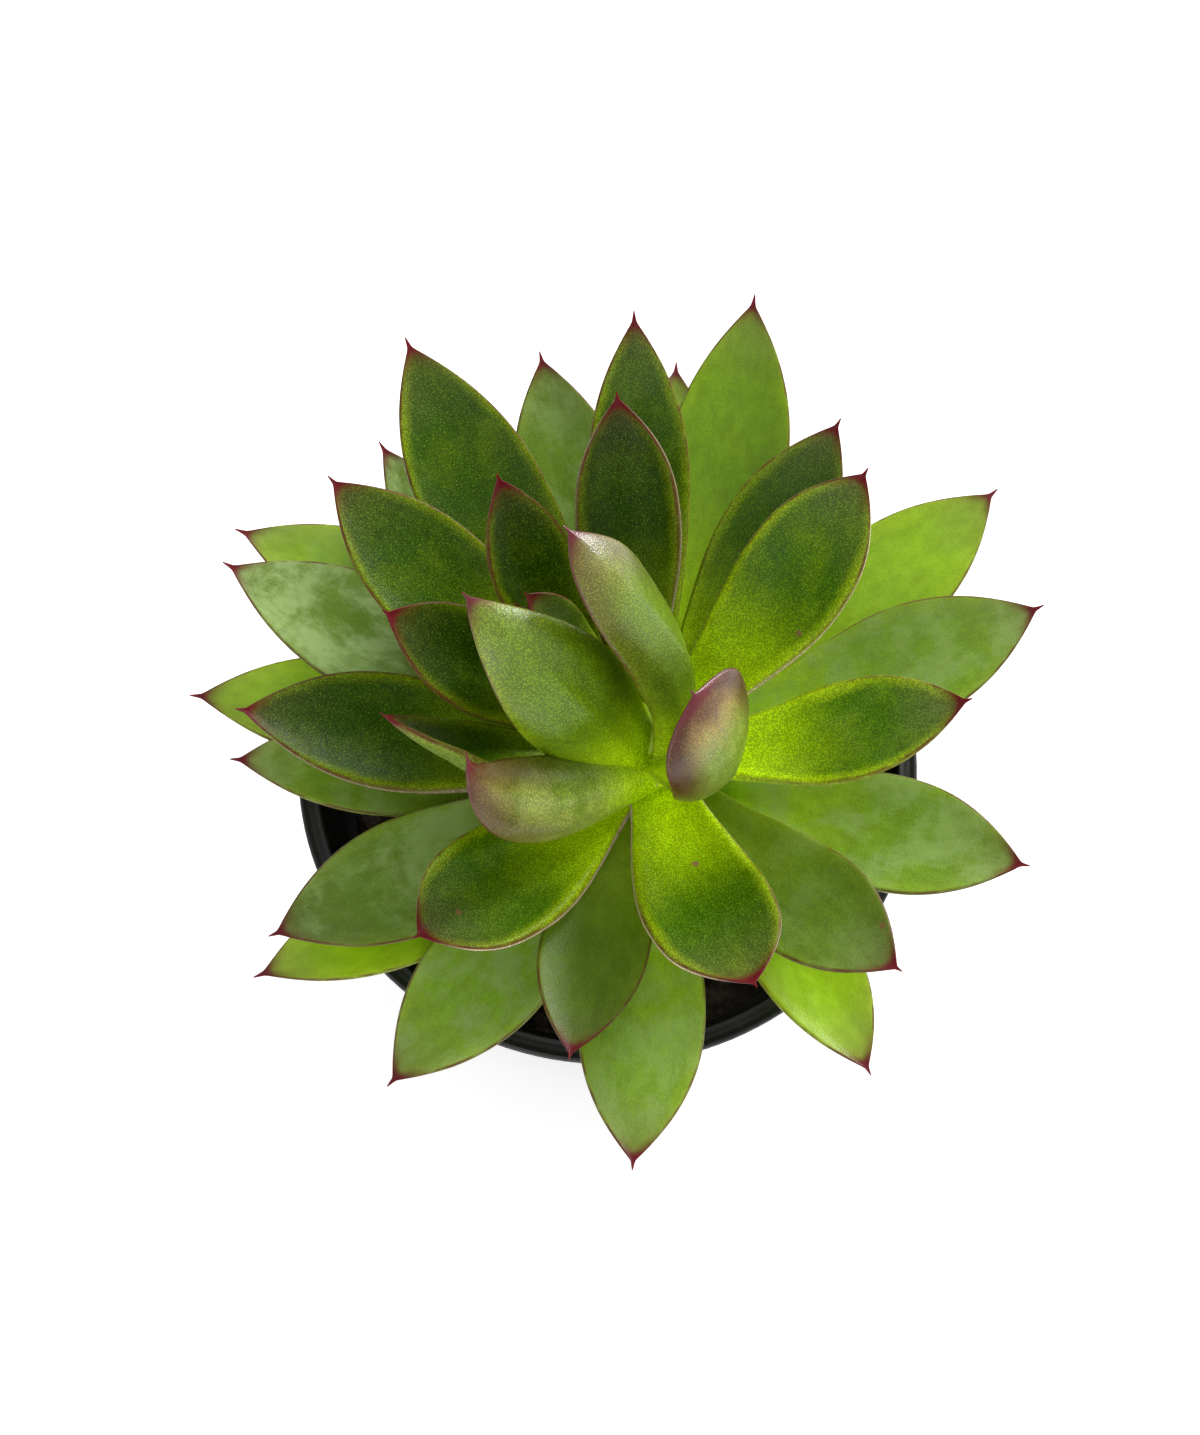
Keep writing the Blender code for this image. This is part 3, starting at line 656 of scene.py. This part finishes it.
def leaf_mesh(shape, seed):
    """Points, faces and stored values of a leaf."""
    share = 1 - (1 - np.linspace(0.0, 1.0, RINGS + 1)) ** RING_CROWDING
    spine, tangents, part, azimuth, length = leaf_spine(shape, share)
    across, up = leaf_frame(shape, part, tangents, azimuth)
    sunk = np.clip(1 - np.arange(RINGS + 1) / SUNK_RINGS, 0.0, 1.0)[:, None]
    spine = spine - tangents[0] * ROOT_SUNK * sunk
    half = half_widths(shape, part, length)
    depth = np.minimum(thicknesses(shape, part), DEPTH_TO_HALF_WIDTH * half + DEPTH_SPARE)
    bend = ROOT_CUP + (shape["cup"] - ROOT_CUP) * np.clip(part / CUP_LENGTH, 0.0, 1.0)
    bend = np.radians(bend)
    lanes = np.sin(np.linspace(-1.0, 1.0, ACROSS + 1) * np.pi / 2)
    left = ripple(seed, part)
    right = ripple(seed + OTHER_MARGIN, part)
    points = []
    stored = {"rim": [], "tip": [], "along": [], "under": [], "blade": []}
    for k in range(RINGS + 1):
        uneven = np.where(lanes < 0, right[k], left[k])
        upper, lower = leaf_ring(shape, part[k], half[k], depth[k], bend[k], lanes, uneven)
        for under, (x, y, where) in enumerate((
            (*upper, lanes),
            (lower[0][::-1], lower[1][::-1], lanes[::-1]),
        )):
            points.extend(spine[k] + x[:, None] * across[k] + y[:, None] * up[k])
            count = len(where)
            stored["rim"].extend((1 - np.abs(where)) * half[k])
            stored["tip"].extend([(1 - part[k]) * length] * count)
            stored["along"].extend([part[k]] * count)
            stored["under"].extend([float(under)] * count)
            patch = seed * PATTERN_STEP + PATTERN_BACK * under
            for lane in where:
                stored["blade"].extend((lane * half[k], part[k] * length, patch))
    points = np.array(points) + (0.0, 0.0, RIM_HEIGHT)
    return points, ring_faces(RINGS, 2 * (ACROSS + 1)), stored


def new_object(name, points, faces, material, sharp=None):
    """An object from points in millimetres."""
    mesh = bpy.data.meshes.new(name)
    mesh.from_pydata([tuple(p) for p in np.asarray(points) * MM], [], faces)
    mesh.materials.append(material)
    mesh.shade_smooth()
    if sharp is not None:
        mesh.set_sharp_from_angle(angle=math.radians(sharp))
    item = bpy.data.objects.new(name, mesh)
    bpy.context.collection.objects.link(item)
    return item


def store(item, name, values, kind="FLOAT"):
    field = "vector" if kind == "FLOAT_VECTOR" else "value"
    layer = item.data.attributes.new(name, kind, "POINT")
    layer.data.foreach_set(field, np.asarray(values, np.float32))


def dress(item, slot, *nodes):
    """Hangs a piece on the body and hides the solids whose place it takes. The slot is not used."""
    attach(item, "root")
    if nodes:
        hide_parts(*nodes)


def make_leaves(materials):
    for number, (name, shape) in enumerate(LEAVES.items(), start=1):
        if number <= LAST_PALE:
            kind = "pale"
        elif number <= LAST_OUTER:
            kind = "outer"
        elif number <= LAST_INNER:
            kind = "inner"
        else:
            kind = "back"
        seed = (number * SEED_STEP) % 1.0
        points, faces, stored = leaf_mesh(shape, seed)
        item = new_object(name + "_skin", points, faces, materials[kind], LEAF_SHARP)
        for key, values in stored.items():
            store(item, key, values, "FLOAT_VECTOR" if key == "blade" else "FLOAT")
        count = len(points)
        tone_and_painted_light, waxy = TINTS[name]
        store(item, "tone_and_painted_light", [tone_and_painted_light] * count)
        store(item, "waxy", [waxy] * count)
        store(item, "blush", [BLUSHED.get(name, 0.0)] * count)
        store(item, "pallor", [PALLOR.get(name, 0.0)] * count)
        store(item, "lip", [min(1.0, shape["lip"])] * count)
        centre = (*SCARS.get(name, NO_SCAR), seed * PATTERN_STEP)
        store(item, "scar", centre * count, "FLOAT_VECTOR")
        dress(item, "leaf_" + kind, name)


def stem_look():
    look = Look("stem_skin_look")
    place = look.place()
    height = look.node("ShaderNodeSeparateXYZ", {0: place}).outputs[2]
    young = look.ease(height, RIM_HEIGHT - 4, RIM_HEIGHT + 9)
    bark = look.ease(look.noise(place, 1.4, 4.0), 0.35, 0.7)
    bark = look.mix(bark, (0.16, 0.13, 0.06), (0.08, 0.055, 0.03))
    colour = look.mix(young, bark, (0.30, 0.45, 0.003))
    skin = look.bump(look.noise(place, 0.8, 3.0), 0.25, 0.6)
    return look.finish(Base_Color=colour, Roughness=0.55, Normal=skin)


def make_stem(material):
    """The stem, a little uneven, with the ridges that fallen leaves leave."""
    line = np.vstack([STEM_FOOT, stem_curve(np.linspace(0.0, 1.0, STEM_RINGS))])
    tangents = unit(np.gradient(line, axis=0))
    tangents[0] = tangents[1] = (0.0, 0.0, 1.0)
    points = []
    for row, (centre, tangent) in enumerate(zip(line, tangents)):
        sideways = unit(np.cross((0.0, 1.0, 0.0), tangent))
        forward = np.cross(tangent, sideways)
        crown = np.clip(centre[2] / CROWN_HEIGHT, 0.0, 1.0)
        taper = 1.0 + (CROWN_RADIUS / STEM_RADIUS - 1) * crown
        taper *= 1.0 - TOP_TAPER * max(0, row - STEM_RINGS + TOP_RINGS)
        for k in range(STEM_SIDES):
            turn = 2 * math.pi * k / STEM_SIDES
            spiral = math.sin(RIDGES * turn + centre[2] * RIDGE_TURN)
            reach = STEM_RADIUS * taper * (BETWEEN_RIDGES + RIDGE_HEIGHT * spiral ** 3)
            points.append(centre + reach * (math.cos(turn) * sideways + math.sin(turn) * forward))
    points = np.array(points) + (0.0, 0.0, RIM_HEIGHT)
    faces = [tuple(reversed(face)) for face in ring_faces(len(line) - 1, STEM_SIDES)]
    stem = new_object("stem_skin", points, faces, material, STEM_SHARP)
    dress(stem, "stem_skin", "stem")


def circle(radius, sides):
    """Places on a circle round the pot's axis."""
    turns = (2 * math.pi * k / sides for k in range(sides))
    return [(radius * math.cos(turn), radius * math.sin(turn)) for turn in turns]


def turned_faces(rows, sides):
    """Faces of rings round Z, between a point on the axis at each end."""
    last = 1 + rows * sides
    faces = []
    for k in range(sides):
        after = (k + 1) % sides
        faces.append((0, 1 + after, 1 + k))
        for row in range(rows - 1):
            a = 1 + row * sides
            b = a + sides
            faces.append((a + k, a + after, b + after, b + k))
        top = 1 + (rows - 1) * sides
        faces.append((last, top + k, top + after))
    return faces


def turned(profile, sides):
    """Points and faces of a profile of (radius, height) turned round Z. Its ends lie on the axis."""
    points = [(0.0, 0.0, profile[0][1])]
    for radius, height in profile[1:-1]:
        points += [(x, y, height) for x, y in circle(radius, sides)]
    points.append((0.0, 0.0, profile[-1][1]))
    return points, turned_faces(len(profile) - 2, sides)


def outer_radius(height):
    """Outer radius of the pot's wall below its lip."""
    share = height / (RIM_HEIGHT - LIP_DEPTH)
    return BASE_RADIUS + (WALL_TOP_RADIUS - BASE_RADIUS) * share


def inner_radius(height):
    return outer_radius(height) - WALL


def pot_look():
    look = Look("pot_plastic_look")
    place = look.place()
    parts = look.node("ShaderNodeSeparateXYZ", {0: place})
    flat = look.node("ShaderNodeCombineXYZ", {0: parts.outputs[0], 1: parts.outputs[1]}).outputs[0]
    radius = look.node("ShaderNodeVectorMath", {0: flat}, operation="LENGTH").outputs["Value"]
    rings = look.wave(radius, TURNED_RINGS)
    rows = look.wave(parts.outputs[2], TURNED_ROWS)
    dust = look.ease(look.noise(place, 2.2, 6.0, 0.7), 0.5, 0.8, 0.0, 0.35)
    colour = look.mix(dust, (0.0045, 0.0045, 0.005), (0.022, 0.020, 0.018))
    skin = look.bump(look.sum(rings, rows), 0.03, 0.5)
    skin = look.bump(look.noise(place, 0.35, 2.0), 0.03, 0.5, skin)
    roughness = look.ease(look.noise(place, 5.0, 4.0), 0.3, 0.7, 0.42, 0.56)
    return look.finish(Base_Color=colour, Roughness=roughness, Normal=skin, Specular_IOR_Level=0.3)


def subtract(item, cutters):
    """Cuts each of the cutters from the item and removes them."""
    for cutter in cutters:
        cut = item.modifiers.new("cut", "BOOLEAN")
        cut.operation = "DIFFERENCE"
        cut.object = cutter
        bpy.context.view_layer.objects.active = item
        with bpy.context.temp_override(object=item, active_object=item):
            bpy.ops.object.modifier_apply(modifier=cut.name)
        bpy.data.objects.remove(cutter)


def make_pot(material):
    lip = RIM_HEIGHT - LIP_DEPTH
    profile = [
        # The foot
        (0.0, 0.0),
        (8.0, 0.0),
        (BASE_RADIUS - 1.2, 0.0),
        (BASE_RADIUS - 0.35, 0.35),
        (BASE_RADIUS, 1.2),
    ]
    for height in np.linspace(WALL_START, lip - 1.4, WALL_RINGS):
        profile.append((outer_radius(height), height))
    foot = RIM_RADIUS - LIP_TAPER
    throat = MOUTH_RADIUS + THROAT_WALL
    profile += [
        # The throat behind the lip, and the lip's inside
        (WALL_TOP_RADIUS, lip - 1.0),
        (throat - 0.2, lip + 3.5),
        (throat, RIM_HEIGHT - 2 * WALL),
        (RIM_RADIUS - LIP_WALL - 0.4, RIM_HEIGHT - 2 * WALL),
        (foot - LIP_WALL + 0.1, lip + 0.8),
        (foot - LIP_WALL, lip + 0.15),
        (foot - LIP_WALL + 0.2, lip),
        # The lip's outside, with a low band round its foot
        (foot - 0.25, lip),
        (foot, lip + 0.25),
        (foot + 0.02, lip + 0.9),
        (foot - 0.15, lip + 1.2),
        (RIM_RADIUS - 0.3, RIM_HEIGHT - 1.3),
        (RIM_RADIUS, RIM_HEIGHT - 1.0),
        # The rim's top, hollowed a little between two rounded edges
        (RIM_RADIUS, RIM_HEIGHT - 0.45),
        (RIM_RADIUS - 0.15, RIM_HEIGHT - 0.15),
        (RIM_RADIUS - 0.45, RIM_HEIGHT),
        (RIM_RADIUS - 0.8, RIM_HEIGHT - 0.12),
        (RIM_RADIUS - 1.5, RIM_HEIGHT - 0.16),
        (MOUTH_RADIUS + 0.8, RIM_HEIGHT - 0.1),
        (MOUTH_RADIUS + 0.4, RIM_HEIGHT),
        (MOUTH_RADIUS + 0.1, RIM_HEIGHT - 0.2),
        (MOUTH_RADIUS, RIM_HEIGHT - 0.6),
        # The inside
        (inner_radius(lip - 1.0), lip - 1.0),
        (inner_radius(WALL), WALL),
        (0.0, WALL),
    ]
    points, faces = turned(profile, POT_SIDES)
    pot = new_object("pot_shell", points, faces, material, POT_SHARP)
    low = -CUT_PAST
    high = WALL + CUT_PAST
    hole = ((0, low), (DRAIN_RADIUS, low), (DRAIN_RADIUS, high), (0, high))
    points, faces = turned(hole, DRAIN_SIDES)
    cutters = []
    for k in range(DRAIN_HOLES):
        turn = 2 * math.pi * (k + 0.5) / DRAIN_HOLES
        x = DRAIN_CIRCLE * math.cos(turn)
        y = DRAIN_CIRCLE * math.sin(turn)
        moved = [(px + x, py + y, pz) for px, py, pz in points]
        cutters.append(new_object(f"drain_cutter_{k}", moved, faces, material))
    subtract(pot, cutters)
    dress(pot, "pot_plastic", "pot")


def soil_look():
    look = Look("potting_soil_look")
    place = look.place()
    clump = look.noise(place, 2.5, 5.0, 0.65)
    colour = look.mix(look.ease(clump, 0.35, 0.7), (0.012, 0.007, 0.004), (0.055, 0.033, 0.018))
    fleck = look.ease(look.cells(place, 1.1), 0.05, 0.16, 1.0, 0.0)
    colour = look.mix(look.times(fleck, 0.5), colour, (0.13, 0.085, 0.05))
    skin = look.bump(look.noise(place, 0.7, 5.0, 0.7), 0.6, 1.0)
    return look.finish(Base_Color=colour, Roughness=0.93, Normal=skin)


def perlite_look():
    look = Look("perlite_look")
    place = look.place()
    patches = look.ease(look.noise(place, 0.8, 4.0), 0.4, 0.7)
    colour = look.mix(patches, (0.30, 0.26, 0.20), (0.55, 0.51, 0.43))
    skin = look.bump(look.noise(place, 0.4, 3.0), 0.3, 0.8)
    return look.finish(Base_Color=colour, Roughness=0.9, Normal=skin)


def soil_radius():
    """Radius of the soil's top."""
    return inner_radius(RIM_HEIGHT - SOIL_BELOW_RIM) - SOIL_GAP - SOIL_SPARE


def soil_height(x, y):
    """Height of the soil's lumpy top."""
    top = RIM_HEIGHT - SOIL_BELOW_RIM
    reach = math.hypot(x, y) / (inner_radius(top) - SOIL_GAP)
    dome = top - SOIL_DOME * reach ** SOIL_DOME_POWER
    lumps = value_noise.fractal(Vector((x, y, 0.0)) * LUMPS_PER_MM, 0.6, 2.1, 5)
    return dome + LUMP_HEIGHT * lumps - LUMP_SUNK


def make_soil_ground(material):
    """The soil's filling, with its lumpy top."""
    top = RIM_HEIGHT - SOIL_BELOW_RIM
    bottom = WALL + SOIL_GAP
    top_radius = soil_radius()
    low_radius = inner_radius(bottom) - SOIL_GAP - SOIL_SPARE_BELOW
    shoulder = top - SOIL_DOME - SOIL_SHOULDER
    points = [(0.0, 0.0, bottom)]
    points += [(x, y, bottom) for x, y in circle(low_radius, SOIL_SIDES)]
    points += [(x, y, shoulder) for x, y in circle(top_radius, SOIL_SIDES)]
    for row in range(SOIL_CIRCLES, 0, -1):
        for x, y in circle(top_radius * row / SOIL_CIRCLES, SOIL_SIDES):
            points.append((x, y, soil_height(x, y)))
    points.append((0.0, 0.0, soil_height(0.0, 0.0)))
    faces = turned_faces(SOIL_CIRCLES + 2, SOIL_SIDES)
    soil = new_object("soil_ground", points, faces, material, SOIL_SHARP)
    dress(soil, "potting_soil", "soil")


def loose_piece(work, draw, low, high, flat):
    """One rough chip or grain, laid on the soil at a random place."""
    reach = (soil_radius() - CHIP_MARGIN) * math.sqrt(draw.random())
    turn = 2 * math.pi * draw.random()
    x = reach * math.cos(turn)
    y = reach * math.sin(turn)
    size = low + (high - low) * draw.random() ** 2
    made = bmesh.ops.create_icosphere(work, subdivisions=1, radius=1.0)
    spin = 2 * math.pi * draw.random()
    lean = draw.normal(0.0, CHIP_LEAN)
    stretch = CHIP_WIDTH + CHIP_STRETCH * draw.random()
    for vertex in made["verts"]:
        px, py, pz = vertex.co * (1.0 + CHIP_JOLT * draw.normal())
        px *= size * stretch
        py *= size * CHIP_WIDTH
        pz = pz * size * flat + lean * px * CHIP_TILT
        vertex.co = (
            x + px * math.cos(spin) - py * math.sin(spin),
            y + px * math.sin(spin) + py * math.cos(spin),
            soil_height(x, y) + size * flat * CHIP_RISE + pz,
        )


def make_loose_pieces(name, draw, count, low, high, flat, material):
    work = bmesh.new()
    for _ in range(count):
        loose_piece(work, draw, low, high, flat)
    bmesh.ops.recalc_face_normals(work, faces=work.faces)
    mesh = bpy.data.meshes.new(name)
    work.to_mesh(mesh)
    work.free()
    corners = [tuple(v.co) for v in mesh.vertices]
    faces = [tuple(f.vertices) for f in mesh.polygons]
    bpy.data.meshes.remove(mesh)
    dress(new_object(name, corners, faces, material, CHIP_SHARP), "potting_soil")


def make_soil(material, pale):
    """The soil's lumpy top, with chips of bark and grains lying on it."""
    make_soil_ground(material)
    draw = np.random.default_rng(DRAW_SEED)
    make_loose_pieces("soil_bark_chips", draw, *BARK_CHIPS, material)
    make_loose_pieces("soil_grains", draw, *GRAINS, pale)


def make_camera():
    data = bpy.data.cameras.new("camera")
    data.sensor_width = SENSOR
    data.lens = SENSOR * FOCAL_PIXELS / PICTURE_HEIGHT
    data.clip_start = 0.01
    camera = bpy.data.objects.new("camera", data)
    bpy.context.collection.objects.link(camera)
    rise = math.radians(CAMERA_ELEVATION)
    back = Vector((0.0, -math.cos(rise), math.sin(rise)))
    camera.location = (Vector(CAMERA_TARGET) + back * CAMERA_DISTANCE) * MM
    camera.rotation_euler = (-back).to_track_quat("-Z", "Y").to_euler()
    bpy.context.scene.camera = camera


def soft_box(name, place, size, power):
    data = bpy.data.lights.new(name, "AREA")
    data.shape = "DISK"
    data.size = size
    data.energy = power
    light = bpy.data.objects.new(name, data)
    bpy.context.collection.objects.link(light)
    light.location = place
    light.rotation_euler = (Vector(LIGHT_AIM) - Vector(place)).to_track_quat("-Z", "Y").to_euler()


def make_stage():
    look = Look("floor_look")
    material = look.finish(Base_Color=(0.95, 0.95, 0.95), Roughness=0.8,
                           Emission_Color=(1.0, 1.0, 1.0), Emission_Strength=0.2)
    reach = FLOOR_REACH
    corners = [(-reach, -reach, 0.0), (reach, -reach, 0.0), (reach, reach, 0.0), (-reach, reach, 0.0)]
    floor = new_object("floor", corners, [(0, 1, 2, 3)], material)
    world = bpy.data.worlds.new("studio")
    world.use_nodes = True
    sky = world.node_tree.nodes["Background"]
    sky.inputs["Color"].default_value = (1.0, 1.0, 1.0, 1.0)
    sky.inputs["Strength"].default_value = SKY_STRENGTH
    bpy.context.scene.world = world
    soft_box("key", KEY_PLACE, KEY_SIZE, KEY_POWER)
    soft_box("fill", FILL_PLACE, FILL_SIZE, FILL_POWER)
    bpy.context.scene.view_settings.view_transform = "Standard"


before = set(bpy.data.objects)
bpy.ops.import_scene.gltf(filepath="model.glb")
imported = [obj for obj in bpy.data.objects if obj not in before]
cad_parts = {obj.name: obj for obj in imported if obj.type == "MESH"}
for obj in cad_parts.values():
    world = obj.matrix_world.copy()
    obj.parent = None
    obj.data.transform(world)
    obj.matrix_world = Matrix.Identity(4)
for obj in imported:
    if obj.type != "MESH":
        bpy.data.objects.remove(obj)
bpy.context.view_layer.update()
make_camera()
make_leaves(leaf_materials())
make_stem(stem_look())
make_pot(pot_look())
make_soil(soil_look(), perlite_look())
make_stage()
